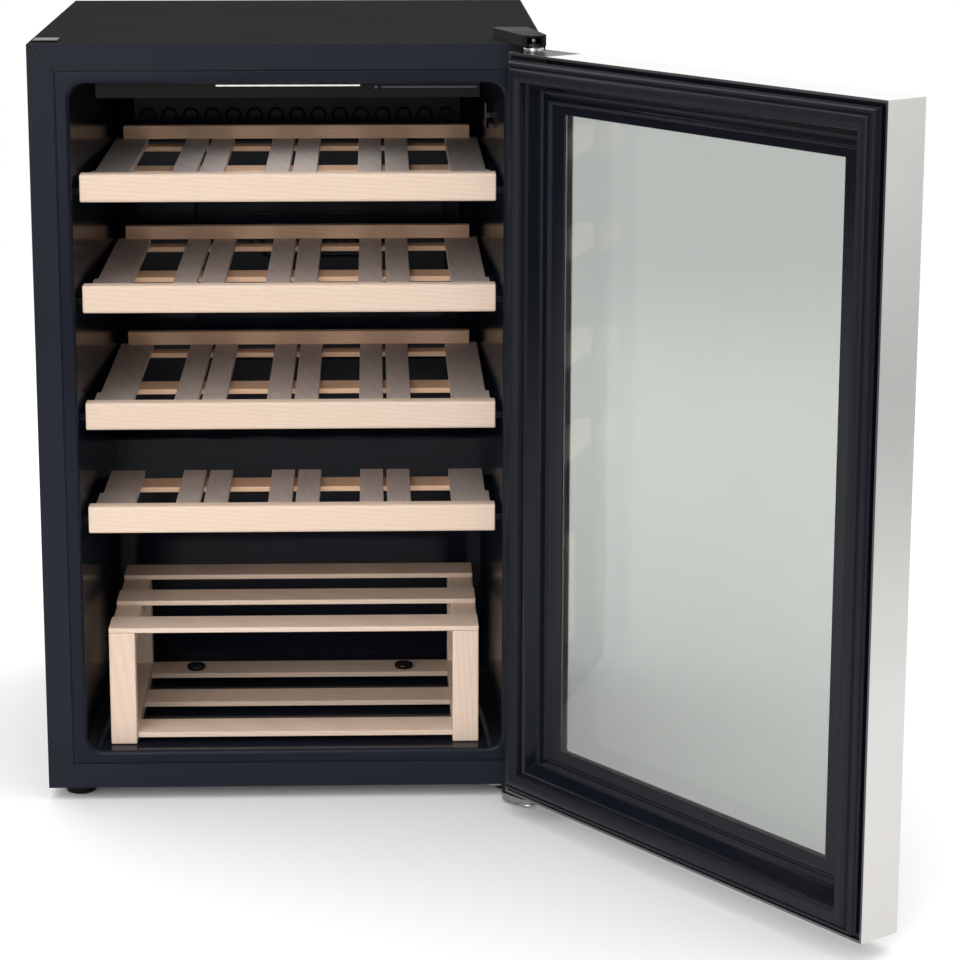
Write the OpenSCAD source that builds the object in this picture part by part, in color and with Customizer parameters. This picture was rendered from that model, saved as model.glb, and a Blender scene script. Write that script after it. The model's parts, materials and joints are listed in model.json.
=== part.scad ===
// Free-standing wine cooler with a hinged glass door, four wooden bottle shelves
// and a slatted wooden stand at the bottom. Millimetres, +Z up, the door at -Y.
// The origin is on the floor, in the middle of the four feet.

/* [Cabinet] */
// Outside width of the cabinet
cabinet_w = 545; // [530:1:560]
// Outside depth of the cabinet, without the door
cabinet_d = 540; // [520:1:560]
// Height of the cabinet body above its underside
cabinet_h = 822; // [810:1:840]
// Height of the underside above the floor
foot_h = 14; // [12:1:20]
// Thickness of the outer sheet metal
sheet = 1; // [0.8:0.1:1.5]
// Width of the painted flange around the front
flange_w = 27.5; // [24:0.5:30]
// Height of the rail along the bottom of the front
kick_h = 27.5; // [24:0.5:30]

/* [Interior] */
// Width of the opening at the front
opening_w = 458; // [450:1:462]
// Width of the interior at the back wall
back_w = 432; // [430:1:440]
// Depth of the interior above the compressor step
interior_d = 440; // [430:1:445]
// Height of the interior floor above the feet
floor_z = 56; // [52:1:60]
// Height of the interior ceiling above the feet
ceiling_z = 794; // [788:1:800]
// Depth of the interior floor in front of the compressor step
floor_d = 355; // [350:1:358]
// Height of the top of the compressor step
step_z = 332; // [325:1:334]
// Thickness of the inner liner
liner_t = 2.5; // [2:0.5:3]
// Radius of the opening's corners
opening_r = 16; // [10:1:20]

/* [Shelves] */
// Top of the uppermost front rail
shelf_top_z = 697; // [690:1:700]
// Drop from the first shelf to the second
drop_1 = 120; // [110:0.5:125]
// Drop from the second shelf to the third
drop_2 = 128.5; // [120:0.5:130]
// Drop from the third shelf to the fourth
drop_3 = 115.5; // [110:0.5:118]
// Length of a front rail
rail_w = 443; // [440:1:446]
// Height of a front rail
rail_h = 30; // [28:1:32]
// Thickness of a front rail
rail_t = 18; // [15:1:20]
// Depth of the three deep shelves
deep_shelf = 386; // [360:1:390]
// Depth of the short bottom shelf
short_shelf = 213; // [190:1:220]
// Width of a bay between two pairs of slats
bay_w = 45; // [42:1:46]
// Distance between the middles of two bays
bay_pitch = 102; // [100:1:104]

/* [Stand] */
// Width of the slatted stand
stand_w = 409; // [400:1:412]
// Depth of the slatted stand
stand_d = 263; // [250:1:270]
// Height of the slatted stand
stand_h = 134.4; // [130:0.1:140]

/* [Door] */
// Width of the door
door_w = 544.5; // [540:0.5:545]
// Thickness of the door
door_t = 49; // [46:0.5:50]
// Gap between the cabinet front and the door's inner face
door_gap = 13.8; // [13.5:0.1:15]
// Lower edge of the door
door_z0 = 19.4; // [19:0.1:21]
// Upper edge of the door
door_z1 = 830.2; // [828:0.1:831]
// Angle at which the door stands open
door_open = 126.3; // [0:0.1:140]
// Distance from the cabinet's side to the hinge axis
hinge_inset = 14.3; // [14:0.1:15]
// Distance from the door's inner face to the hinge axis
hinge_depth = 22.3; // [22:0.1:24]

/* [Hidden] */
$fn = 64;

// Colours
navy_black = [0.16, 0.18, 0.22];
soft_black = [0.10, 0.10, 0.11];
beech = [0.89, 0.78, 0.66];
grey_beech = [0.66, 0.58, 0.52];
steel = [0.75, 0.74, 0.72];
foam = [0.90, 0.85, 0.62];
glass = [0.76, 0.79, 0.77, 0.5];
copper = [0.72, 0.45, 0.30];

// Cabinet outline
half_w = cabinet_w / 2;
front_y = -cabinet_d / 2;
rear_y = cabinet_d / 2;
top_z = foot_h + cabinet_h;
inner_half = half_w - sheet;
over = 1;

// Interior
half_front = opening_w / 2;
half_back = back_w / 2;
back_y = front_y + interior_d;
step_y = front_y + floor_d;
corner_r = 25;
lip_y = front_y + sheet + 0.1;
arc_steps = 8;

// Space behind the insulation
foam_t = 42;
bay_front_y = step_y + liner_t + foam_t;
bay_top_z = step_z - liner_t - foam_t;
skin_y = back_y + liner_t + 55;

// Feet
foot_r = 17;
foot_disc = 9;
foot_x = 240;
foot_y = 235;
foot_stem_r = 4;
foot_stem_top = foot_h + 12;

// Shelves
shelf_tops = [shelf_top_z, shelf_top_z - drop_1, shelf_top_z - drop_1 - drop_2,
    shelf_top_z - drop_1 - drop_2 - drop_3];
shelf_depths = [deep_shelf, deep_shelf, deep_shelf, short_shelf];
shelf_front_y = front_y + 8;
slat_drop = 11;
slat_t = 7;
slat_gap = 4;
slat_w = (bay_pitch - bay_w - slat_gap) / 2;
side_slat_x = 214.5;
side_slat_step = 4;
side_slat_step_y = front_y + 116;
cross_w = 44;
cross_t = 6;
cross_half = 200;
back_stop_half = 205;
back_stop_h = 16;
back_stop_t = 12;
ledge_x = 203;
ledge_h = 8;
ledge_gap = 0.5;

// Housing under the ceiling
housing_half = 205;
housing_d = 100;
housing_y = front_y + 45;
housing_z = ceiling_z - 20;
led_half = 77;
led_d = 12;
led_h = 1.8;
led_z = housing_z + 12;
lens_x = 100;
lens_w = 102;
lens_d = 4;
lens_h = 2;
lens_z = housing_z + 10;
eye_r = 1.8;

// Slatted stand
stand_x = stand_w / 2;
stand_y = front_y + 23;
stand_z = floor_z + 0.3;
stand_top = stand_z + stand_h;
post_w = 29;
post_t = 18;
stand_slat_t = 5.7;
stand_slat_w = 47;
stand_pitch = (stand_d - stand_slat_w) / 2;
stand_slat_len = stand_x - post_w;
bottom_slat_z = stand_z + 6;
cap_x = 123.5;
cap_y = stand_y + 2 * stand_pitch + stand_slat_w / 2;
cap_r = 11;
cap_h = 6;
cap_bolt_r = 3;

// Door
door_half = door_w / 2;
door_y = front_y - door_gap;
hinge_x = half_w - hinge_inset;
hinge_y = door_y - hinge_depth;
steel_t = 1.2;
steel_ring = 52;
hem_w = 2.6;
gasket_t = 12.9;
end_cap_len = 61;
end_cap_h = 18;
pin_r = 4;
pin_head_r = pin_r + 1;
nose_cut = 10;
nose_half = 7.5;
bush_bore_r = pin_r + 0.05;
bush_r = 7;
bush_flange_r = 10.5;
bush_len = 18;
bush_flange_t = 4.5;
inner_pane_t = 20;
pane_t = 4;
window = [71, 60.5];

// Hinge hardware
plate_t = 3;
top_pin_low = door_z1 - 16;
bottom_plate_z = 9;
bottom_rim_z = 5;
rim_t = 2;
head_r = 12.6;
bottom_pin_top = door_z0 + 16;
screw_r = 2;
screw_head_r = 4.5;
screw_head_h = 2.2;
top_screws = [[248, front_y + 16], [236, front_y + 36], [248, front_y + 36]];
bottom_screws = [[262, front_y + 14], [262, front_y + 62], [226, front_y + 62]];

// Compressor bay
comp_x = 40;
comp_y = 201;
comp_r = 62;
comp_h = 140;
comp_z = foot_h + 2 + 12;

// Condenser
coil_y = skin_y + sheet + 17;
coil_r = 2.4;
coil_half = 222;
coil_pitch = 40;
coil_runs = 12;
coil_low = bay_top_z + 52;
wire_r = 0.8;
wire_count = 27;

// ---------- helpers ----------

// A block between two opposite corners
module block(low, high) {
    translate(low) cube(high - low);
}

// The children and their mirror image on the other side of the cabinet
module both_sides() {
    children();
    mirror([1, 0, 0]) children();
}

// The points of an arc
function arc(cx, cy, r, a0, a1) =
    [for (i = [0 : arc_steps]) let (a = a0 + (a1 - a0) * i / arc_steps)
        [cx + r * cos(a), cy + r * sin(a)]];

// Half the interior's width at a depth, from the draft of the side walls
function wall_x(y) =
    half_front - (half_front - half_back) * (y - front_y) / (interior_d - corner_r);

// Plan of the interior, grown by g all round
function plan_points(g, y0) = concat(
    [[-wall_x(y0) - g, y0], [wall_x(y0) + g, y0]],
    arc(half_back - corner_r, back_y - corner_r, corner_r + g, 0, 90),
    arc(corner_r - half_back, back_y - corner_r, corner_r + g, 90, 180));

// Front view of the interior, grown by g all round
function front_points(g) =
    let (r = opening_r, x = half_front - r, z0 = floor_z + r, z1 = ceiling_z - r)
    concat(arc(x, z1, r + g, 0, 90), arc(-x, z1, r + g, 90, 180),
        arc(-x, z0, r + g, 180, 270), arc(x, z0, r + g, 270, 360));

// The interior as a solid, grown by g all round, from depth y0 back
module interior(g, y0) {
    difference() {
        intersection() {
            translate([0, 0, floor_z - g])
                linear_extrude(ceiling_z - floor_z + 2 * g) polygon(plan_points(g, y0));
            translate([0, back_y + g + over, 0]) rotate([90, 0, 0])
                linear_extrude(interior_d + g + 4 * over) polygon(front_points(g));
        }
        block([-half_w, step_y + g, 0], [half_w, rear_y, step_z - g]);
    }
}

// A round part standing along Z
module post(x, y, z0, z1, r) {
    translate([x, y, z0]) cylinder(h = z1 - z0, r = r);
}

// A rectangular ring in the door, from one pair of margins to another, at depths t0 to t1
module door_ring(outer, inner, t0, t1) {
    difference() {
        block([-door_half + outer[0], door_y - t1, door_z0 + outer[1]],
            [door_half - outer[0], door_y - t0, door_z1 - outer[1]]);
        block([-door_half + inner[0], door_y - t1 - over, door_z0 + inner[1]],
            [door_half - inner[0], door_y - t0 + over, door_z1 - inner[1]]);
    }
}

// Turns a closed door's parts to where the door stands
module swing() {
    translate([hinge_x, hinge_y, 0]) rotate([0, 0, door_open])
        translate([-hinge_x, -hinge_y, 0]) children();
}

// The spaces that the two end caps fill, grown by g
module end_cap_space(g) {
    for (z = [door_z0 - over, door_z1 - end_cap_h - g])
        block([door_half - end_cap_len - g, door_y - door_t + steel_t - g, z],
            [door_half - steel_t + g, door_y - steel_t + g, z + end_cap_h + over + g]);
}

// Bores for the bushes of the hinge
module bush_bores(r) {
    post(hinge_x, hinge_y, door_z1 - bush_len, door_z1 + over, r);
    post(hinge_x, hinge_y, door_z0 - over, door_z0 + bush_len, r);
}

// Screw holes at a list of places
module holes(places, r, z0, z1) {
    for (p = places) post(p[0], p[1], z0, z1, r);
}

// Holes for the feet's stems
module stem_holes(z1) {
    for (x = [-foot_x, foot_x]) for (y = [-foot_y, foot_y])
        post(x, y, -over, z1, foot_stem_r + 0.2);
}

// ---------- cabinet ----------

// A side panel with its front flange, mitred at the top
module side_panel() {
    color(navy_black) {
        block([half_w - sheet, front_y, foot_h], [half_w, rear_y, top_z - sheet]);
        translate([0, front_y + sheet, 0]) rotate([90, 0, 0]) linear_extrude(sheet)
            polygon([[half_w, foot_h], [half_w - flange_w, foot_h],
                [half_w - flange_w, top_z - flange_w - 0.4], [half_w, top_z - 0.4]]);
    }
}

module side_panel_left() {
    mirror([1, 0, 0]) side_panel();
}

module side_panel_right() {
    side_panel();
}

module top_panel() {
    color(soft_black) {
        block([-half_w + 0.3, front_y + sheet, top_z - sheet], [half_w - 0.3, rear_y, top_z]);
        translate([0, front_y + sheet, 0]) rotate([90, 0, 0]) linear_extrude(sheet)
            polygon([[-half_w + 0.3, top_z], [-half_w + flange_w + 0.3, top_z - flange_w],
                [half_w - flange_w - 0.3, top_z - flange_w], [half_w - 0.3, top_z]]);
    }
}

module kick_rail() {
    x = half_w - flange_w - 0.3;
    color(navy_black) {
        block([-x, front_y, foot_h], [x, front_y + sheet, foot_h + kick_h]);
        block([-x, front_y, foot_h], [x, front_y + 14, foot_h + sheet]);
    }
}

module base_tray() {
    color(steel) difference() {
        block([-inner_half, front_y + 14.2, foot_h],
            [inner_half, bay_front_y + sheet, foot_h + 1.2]);
        stem_holes(foot_stem_top + over);
    }
}

module compressor_deck() {
    color(steel) difference() {
        union() {
            block([-inner_half, bay_front_y + sheet + 0.2, foot_h],
                [inner_half, rear_y - 2, foot_h + 2]);
            block([-228, rear_y - 4, foot_h], [-172, rear_y - 2, foot_h + 50]);
        }
        stem_holes(foot_stem_top + over);
        translate([-200, rear_y + over, foot_h + 28]) rotate([90, 0, 0])
            cylinder(h = 10, r = 8);
    }
}

// Bent sheet that closes the insulation at the back and over the compressor bay
module back_panel() {
    a = bay_front_y;
    b = skin_y;
    c = bay_top_z;
    color(soft_black) translate([-inner_half, 0, 0]) rotate([90, 0, 90])
        linear_extrude(2 * inner_half)
        polygon([[a, foot_h + 2], [a, c], [b, c], [b, top_z - sheet],
            [b + sheet, top_z - sheet], [b + sheet, c - sheet],
            [a + sheet, c - sheet], [a + sheet, foot_h + 2]]);
}

module insulation_foam() {
    y0 = lip_y + liner_t;
    z0 = foot_h + 1.2;
    z1 = top_z - sheet;
    color(foam) difference() {
        translate([-inner_half, 0, 0]) rotate([90, 0, 90]) linear_extrude(2 * inner_half)
            polygon([[y0, z0], [bay_front_y, z0], [bay_front_y, bay_top_z],
                [skin_y, bay_top_z], [skin_y, z1], [y0, z1]]);
        interior(liner_t, lip_y);
        stem_holes(foot_stem_top + over);
        block([-half_w, front_y, z0 - over], [half_w, front_y + 15, z0 + 0.4]);
    }
}

// The moulded tub with its front lip and the ledges that the shelves run on
module inner_liner() {
    z0 = foot_h + 1.6;
    z1 = top_z - sheet - 0.2;
    color(soft_black) {
        difference() {
            union() {
                interior(liner_t, lip_y);
                block([-inner_half, lip_y, z0], [inner_half, lip_y + liner_t, z1]);
            }
            interior(0, front_y - over);
        }
        intersection() {
            both_sides() for (i = [0 : 3]) {
                z = shelf_tops[i] - slat_drop - slat_t - ledge_gap;
                block([ledge_x, front_y + 32, z - ledge_h],
                    [half_front + liner_t, shelf_front_y + shelf_depths[i], z]);
            }
            interior(liner_t / 2, lip_y);
        }
    }
}

// Cold plate on the back wall, on four spacers
module evaporator_plate() {
    x = 195;
    z0 = step_z + 48;
    z1 = ceiling_z - 59;
    y = back_y - 12;
    color(soft_black) {
        block([-x, y, z0], [x, y + 2, z1]);
        for (sx = [-150, 150]) for (z = [z0 + 40, z1 - 40])
            translate([sx, back_y, z]) rotate([90, 0, 0]) cylinder(h = 10, r = 6);
    }
}

// The light's slot, and the indicator's slot and eye, from proud of the housing's front back
module light_slot(proud) {
    block([-led_half, housing_y - proud, led_z], [led_half, housing_y + led_d, led_z + led_h]);
}

module indicator_slot(proud) {
    block([lens_x, housing_y - proud, lens_z],
        [lens_x + lens_w, housing_y + lens_d, lens_z + lens_h]);
    translate([lens_x - 6, housing_y + lens_d, lens_z + lens_h / 2]) rotate([90, 0, 0])
        cylinder(h = lens_d + proud, r = eye_r);
}

// Housing of the light and the controls, under the ceiling
module ceiling_housing() {
    color(soft_black) difference() {
        block([-housing_half, housing_y, housing_z],
            [housing_half, housing_y + housing_d, ceiling_z]);
        light_slot(over);
        indicator_slot(over);
    }
}

module led_diffuser() {
    color("white") light_slot(0.6);
}

module indicator_lens() {
    color("lightblue") indicator_slot(0.4);
}

// Temperature probe in its clip on the right wall
module temperature_probe() {
    y = front_y + 190;
    x = wall_x(y);
    z = shelf_top_z + 40;
    color(steel) {
        post(x - 6, y, z - 14, z + 14, 3);
        block([x - 6, y - 4, z - 3], [x - 0.2, y + 4, z + 3]);
    }
}

// ---------- cooling system ----------

// Hermetic compressor can with its foot plate
module compressor_shell() {
    wall = 3;
    z = comp_z;
    color(soft_black) {
        difference() {
            translate([comp_x, comp_y, z]) rotate_extrude()
                polygon(concat([[0, 0]], arc(comp_r - 14, 14, 14, -90, 0),
                    arc(comp_r - 38, comp_h - 38, 38, 0, 90), [[0, comp_h]]));
            translate([comp_x, comp_y, z]) rotate_extrude()
                polygon(concat([[0, wall]], arc(comp_r - 14, 14, 14 - wall, -90, 0),
                    arc(comp_r - 38, comp_h - 38, 38 - wall, 0, 90), [[0, comp_h - wall]]));
        }
        difference() {
            block([comp_x - 90, comp_y - 50, z - 3], [comp_x + 90, comp_y + 50, z]);
            for (sx = [-78, 78]) for (sy = [-40, 40])
                post(comp_x + sx, comp_y + sy, z - 4, z + 1, 5);
        }
    }
}

module compressor_pump() {
    color(copper) post(comp_x, comp_y, comp_z + 3, comp_z + 96, 44);
}

module compressor_mounts() {
    color(soft_black) for (sx = [-78, 78]) for (sy = [-40, 40]) {
        x = comp_x + sx;
        y = comp_y + sy;
        post(x, y, foot_h + 2, comp_z - 3, 9);
        post(x, y, comp_z - 3, comp_z + 2, 4.8);
    }
}

// Starting relay in its box on the side of the compressor
module relay_box() {
    x = comp_x + comp_r;
    color(soft_black) difference() {
        block([x - 8, comp_y - 24, comp_z + 42], [x + 26, comp_y + 24, comp_z + 88]);
        post(comp_x, comp_y, comp_z, comp_z + comp_h, comp_r);
    }
}

// Drier and the stub pipes between compressor, coil and evaporator
module filter_drier() {
    color(copper) {
        post(-110, 222, 60, 150, 8);
        post(-110, 222, 40, 60, 3);
        post(-110, 222, 150, 190, 2);
        post(comp_x - comp_r - 8, comp_y, comp_z + 60, bay_top_z - sheet, 3);
        translate([comp_x - comp_r - 8, comp_y, comp_z + 63]) rotate([0, 90, 0])
            cylinder(h = 8, r = 3);
    }
}

// Serpentine tube with upright wires and four brackets
module condenser_coil() {
    bend_r = coil_pitch / 2;
    span = coil_half - bend_r;
    color(soft_black) {
        union() {
            for (i = [0 : coil_runs - 1])
                translate([-span, coil_y, coil_low + i * coil_pitch]) rotate([0, 90, 0])
                    cylinder(h = 2 * span, r = coil_r);
            for (i = [0 : coil_runs - 2])
                translate([(i % 2 == 0 ? 1 : -1) * span, coil_y,
                    coil_low + (i + 0.5) * coil_pitch])
                    rotate([90, i % 2 == 0 ? 90 : -90, 0])
                    rotate_extrude(angle = 180) translate([bend_r, 0]) circle(r = coil_r);
        }
        for (i = [0 : wire_count - 1])
            post(-span + (i + 0.5) * 2 * span / wire_count, coil_y + coil_r + wire_r + 0.1,
                coil_low - 12, coil_low + (coil_runs - 1) * coil_pitch + 12, wire_r);
        for (x = [-120, 120]) for (i = [1, coil_runs - 3])
            block([x - 8, skin_y + sheet, coil_low + i * coil_pitch + 5],
                [x + 8, coil_y + coil_r, coil_low + (i + 1) * coil_pitch - 5]);
    }
}

// Tray over the compressor that the melted frost runs into
module drain_pan() {
    z = comp_z + comp_h;
    color(soft_black) difference() {
        block([comp_x - 60, comp_y - 45, z], [comp_x + 60, comp_y + 45, z + 24]);
        block([comp_x - 58, comp_y - 43, z + 2], [comp_x + 58, comp_y + 43, z + 25]);
    }
}

module cable_gland() {
    color(soft_black) translate([-200, rear_y - 9, foot_h + 28]) rotate([-90, 0, 0])
        difference() {
            union() {
                cylinder(h = 9, r = 7.9);
                translate([0, 0, 7]) cylinder(h = 2, r = 11);
            }
            translate([0, 0, -over]) cylinder(h = 12, r = 3.75);
        }
}

// ---------- feet ----------

module foot(x, y) {
    color(soft_black) {
        post(x, y, 0, foot_disc, foot_r);
        post(x, y, foot_disc, foot_stem_top, foot_stem_r);
    }
}

module foot_front_left() {
    foot(-foot_x, -foot_y);
}

module foot_front_right() {
    foot(foot_x, -foot_y);
}

module foot_rear_left() {
    foot(-foot_x, foot_y);
}

module foot_rear_right() {
    foot(foot_x, foot_y);
}

// ---------- hinges ----------

module top_hinge_bracket() {
    color(steel) difference() {
        union() {
            translate([0, 0, top_z]) linear_extrude(plate_t)
                polygon([[229, front_y + 44], [251, front_y + 44], [259, front_y + 6],
                    [hinge_x + 10, hinge_y], [hinge_x - 10, hinge_y], [238, front_y + 6]]);
            post(hinge_x, hinge_y, top_z, top_z + plate_t, 10.5);
        }
        post(hinge_x, hinge_y, top_z - over, top_z + 5, pin_r);
        holes(top_screws, screw_r + 0.1, top_z - over, top_z + 5);
    }
}

module top_hinge_pin() {
    color(steel) {
        post(hinge_x, hinge_y, top_pin_low, top_z + plate_t, pin_r);
        post(hinge_x, hinge_y, top_z + plate_t, top_z + nose_cut - 1, pin_head_r);
    }
}

// Cap over the top hinge, with a round nose that is open in front of the pin
module top_hinge_cover() {
    lid_z = top_z + 12;
    room_z = lid_z - 1.5;
    color(soft_black) difference() {
        hull() {
            post(226, front_y + 44, top_z + 0.2, lid_z, 7);
            post(249, front_y + 44, top_z + 0.2, lid_z, 8);
            post(hinge_x, hinge_y, top_z + 0.2, lid_z, 13);
        }
        hull() {
            post(226, front_y + 44, top_z - over, room_z, 5);
            post(249, front_y + 44, top_z - over, room_z, 6);
            post(hinge_x, hinge_y, top_z - over, room_z, 11);
        }
        block([hinge_x - nose_half, hinge_y - 20, top_z - over],
            [hinge_x + nose_half, hinge_y - 2, top_z + nose_cut]);
    }
}

// Tongue of the bottom hinge, which narrows to a round nose under the pin
module tongue(inset, z0, z1) {
    hull() {
        post(hinge_x, hinge_y, z0, z1, 12 - inset);
        post(hinge_x - 24, hinge_y + 16, z0, z1, 5 - inset);
        block([hinge_x - 29 + inset, front_y - 4, z0], [hinge_x + 11 - inset, front_y - inset, z1]);
    }
}

// Pressed bracket with its rim turned down around the tongue
module bottom_hinge_bracket() {
    color(steel) difference() {
        union() {
            difference() {
                tongue(0, bottom_rim_z, bottom_plate_z + plate_t);
                tongue(rim_t, bottom_rim_z - over, bottom_plate_z);
                post(hinge_x, hinge_y, bottom_rim_z - over, bottom_plate_z - 2, head_r + 0.6);
            }
            block([216, front_y + 4, foot_h - plate_t], [270, front_y + 70, foot_h]);
            block([hinge_x - 14, front_y - 2, bottom_plate_z], [hinge_x + 11, front_y + 6, foot_h]);
        }
        post(hinge_x, hinge_y, bottom_plate_z - over, 20, pin_r);
        post(foot_x, -foot_y, 0, 20, foot_stem_r + 0.2);
        holes(bottom_screws, screw_r + 0.1, 0, 20);
    }
}

// Pin with a domed head under the bracket and a shoulder over it
module bottom_hinge_pin() {
    color(steel) {
        post(hinge_x, hinge_y, bottom_plate_z, bottom_pin_top, pin_r);
        post(hinge_x, hinge_y, bottom_plate_z + plate_t, door_z0 - bush_flange_t - 0.3, 8);
        translate([hinge_x, hinge_y, bottom_plate_z]) rotate_extrude()
            polygon([[0, 0], [9.5, 0], [9.5, -2.3], [head_r, -2.3], [head_r, -3.2],
                [11.4, -4.7], [9, -5.9], [5, -6.8], [0, -7.1]]);
    }
}

// One screw, head up from height z
module screw(x, y, z, up) {
    low = up > 0 ? z - plate_t : z;
    post(x, y, low, low + plate_t, screw_r);
    translate([x, y, up > 0 ? z : z - screw_head_h])
        cylinder(h = screw_head_h, r = screw_head_r);
}

module hinge_screws() {
    color(steel) {
        for (p = top_screws) screw(p[0], p[1], top_z + plate_t, 1);
        for (p = bottom_screws) screw(p[0], p[1], foot_h - plate_t, -1);
    }
}

// Covers over the second set of hinge holes, at the left
module hinge_hole_covers() {
    color(soft_black) {
        block([-268, front_y + 18, top_z], [-242, front_y + 48, top_z + 2.2]);
        for (p = bottom_screws) post(-p[0], p[1], foot_h - 2, foot_h, 5);
    }
}

// ---------- door ----------

// Folded steel front: face, four edges and a narrow hem
module door_steel_frame() {
    color(steel) swing() difference() {
        union() {
            door_ring([0, 0], [steel_t, steel_t], 0, door_t);
            door_ring([0, 0], [hem_w, hem_w], 0, steel_t);
            door_ring([0, 0], [steel_ring, steel_ring], door_t - steel_t, door_t);
        }
        end_cap_space(0.1);
    }
}

// Black inner frame: a channel under the gasket and a bezel over the inner pane
module door_liner() {
    back = door_t - steel_t - pane_t - 0.2;
    color(soft_black) swing() difference() {
        union() {
            door_ring([hem_w, hem_w], [8, 8], 1.4, 4);
            difference() {
                door_ring([8, 8], [34, 34], 0, back);
                door_ring([10.5, 10.5], [31.5, 31.5], 2.5, back + over);
            }
            door_ring([34, 34], window, 16.5, inner_pane_t);
            door_ring([45, 45], [49, 49], 14, 16.5);
        }
        end_cap_space(0.1);
    }
}

// Soft seal: a magnet chamber on a narrower bellows
module door_gasket() {
    color(soft_black) swing() difference() {
        union() {
            door_ring([12, 12], [30, 30], -gasket_t, -4);
            door_ring([8.5, 8.5], [28, 28], -4, 0);
        }
        door_ring([15.9, 15.9], [26.1, 26.1], -gasket_t + 1.4, -gasket_t + 5.6);
    }
}

module gasket_magnets() {
    color([0.3, 0.3, 0.3]) swing()
        door_ring([16, 16], [26, 26], -gasket_t + 1.5, -gasket_t + 5.5);
}

module pane(margin, t0) {
    block([-door_half + margin, door_y - t0 - pane_t, door_z0 + margin],
        [door_half - margin, door_y - t0, door_z1 - margin]);
}

module outer_pane() {
    color(glass) swing() pane(22, door_t - steel_t - pane_t);
}

module inner_pane() {
    color(glass) swing() pane(36, inner_pane_t);
}

module pane_spacer() {
    color(steel) swing() door_ring([38.5, 38.5], [46.5, 46.5], inner_pane_t + pane_t,
        door_t - steel_t - pane_t);
}

// Bush with a wide flange at each end of the door
module hinge_bushes() {
    color(steel) swing() difference() {
        union() {
            bush_bores(bush_r);
            post(hinge_x, hinge_y, door_z1, door_z1 + bush_flange_t, bush_flange_r);
            post(hinge_x, hinge_y, door_z0 - bush_flange_t, door_z0, bush_flange_r);
        }
        post(hinge_x, hinge_y, door_z1 - bush_len - over, door_z1 + 10, bush_bore_r);
        post(hinge_x, hinge_y, door_z0 - 10, door_z0 + bush_len + over, bush_bore_r);
    }
}

module door_end_caps() {
    color(soft_black) swing() difference() {
        intersection() {
            end_cap_space(0);
            block([-door_half, door_y - door_t, door_z0], [door_half, door_y, door_z1]);
        }
        bush_bores(bush_r);
    }
}

// ---------- shelves ----------

module shelf_front_rail(i) {
    y = shelf_front_y;
    z = shelf_tops[i];
    c = 2;
    color(beech) translate([-rail_w / 2, 0, 0]) rotate([90, 0, 90]) linear_extrude(rail_w)
        polygon([[y, z - rail_h + c], [y, z - c], [y + c, z], [y + rail_t, z],
            [y + rail_t, z - rail_h], [y + c, z - rail_h]]);
}

// Six narrow slats in pairs and a wide one at each side, with a stop step near the front
module shelf_slats(i) {
    y0 = shelf_front_y + rail_t;
    y1 = shelf_front_y + shelf_depths[i];
    z1 = shelf_tops[i] - slat_drop;
    z0 = z1 - slat_t;
    side_x = 1.5 * bay_pitch + bay_w / 2;
    color(grey_beech) {
        for (pair = [-1 : 1]) for (s = [-1, 1]) {
            x = pair * bay_pitch + s * (slat_gap + slat_w) / 2;
            block([x - slat_w / 2, y0, z0], [x + slat_w / 2, y1, z1]);
        }
        both_sides() {
            block([side_x, y0, z0], [side_slat_x, y1, z1]);
            block([side_slat_x, y0, z0], [side_slat_x + side_slat_step, side_slat_step_y, z1]);
        }
    }
}

// Flat rails under the slats, and a raised stop along the back of a deep shelf
module shelf_cross_rails(i) {
    y1 = shelf_front_y + shelf_depths[i];
    z = shelf_tops[i] - slat_drop;
    deep = shelf_depths[i] > 300;
    front_y0 = deep ? shelf_front_y + 154 : y1 - 54;
    color(beech) {
        block([-cross_half, front_y0, z - slat_t - cross_t],
            [cross_half, front_y0 + cross_w, z - slat_t]);
        if (deep) {
            block([-cross_half, y1 - 26, z - slat_t - cross_t], [cross_half, y1, z - slat_t]);
            block([-back_stop_half, y1 - back_stop_t, z],
                [back_stop_half, y1, z + back_stop_h]);
        }
    }
}

// ---------- slatted stand ----------

module stand_side() {
    x0 = stand_x - post_w;
    z1 = stand_top - stand_slat_t;
    y1 = stand_y + stand_d;
    color(beech) {
        block([x0, stand_y, stand_z], [stand_x, stand_y + post_t, z1]);
        block([x0, y1 - post_t, stand_z], [stand_x, y1, z1]);
        block([x0, stand_y + post_t, z1 - post_t], [stand_x, y1 - post_t, z1]);
        block([x0, stand_y + post_t, stand_z], [stand_x, y1 - post_t, stand_z + post_t]);
    }
}

module stand_side_left() {
    mirror([1, 0, 0]) stand_side();
}

module stand_side_right() {
    stand_side();
}

// Three slats in a row, at height z
module slat_row(half, z) {
    for (i = [0 : 2]) {
        y = stand_y + i * stand_pitch;
        block([-half, y, z], [half, y + stand_slat_w, z + stand_slat_t]);
    }
}

module stand_top_slats() {
    color(beech) slat_row(stand_x, stand_top - stand_slat_t);
}

module stand_bottom_slats() {
    color(beech) difference() {
        translate([0, 6, 0]) slat_row(stand_slat_len, bottom_slat_z);
        both_sides() post(cap_x, cap_y, 0, 200, cap_bolt_r + 0.1);
    }
}

// Capped bolts through the rear bottom slat
module stand_bolt_caps() {
    z = bottom_slat_z + stand_slat_t;
    color(soft_black) both_sides() {
        post(cap_x, cap_y, stand_z + 0.5, z, cap_bolt_r);
        post(cap_x, cap_y, z, z + cap_h, cap_r);
    }
}

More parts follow.
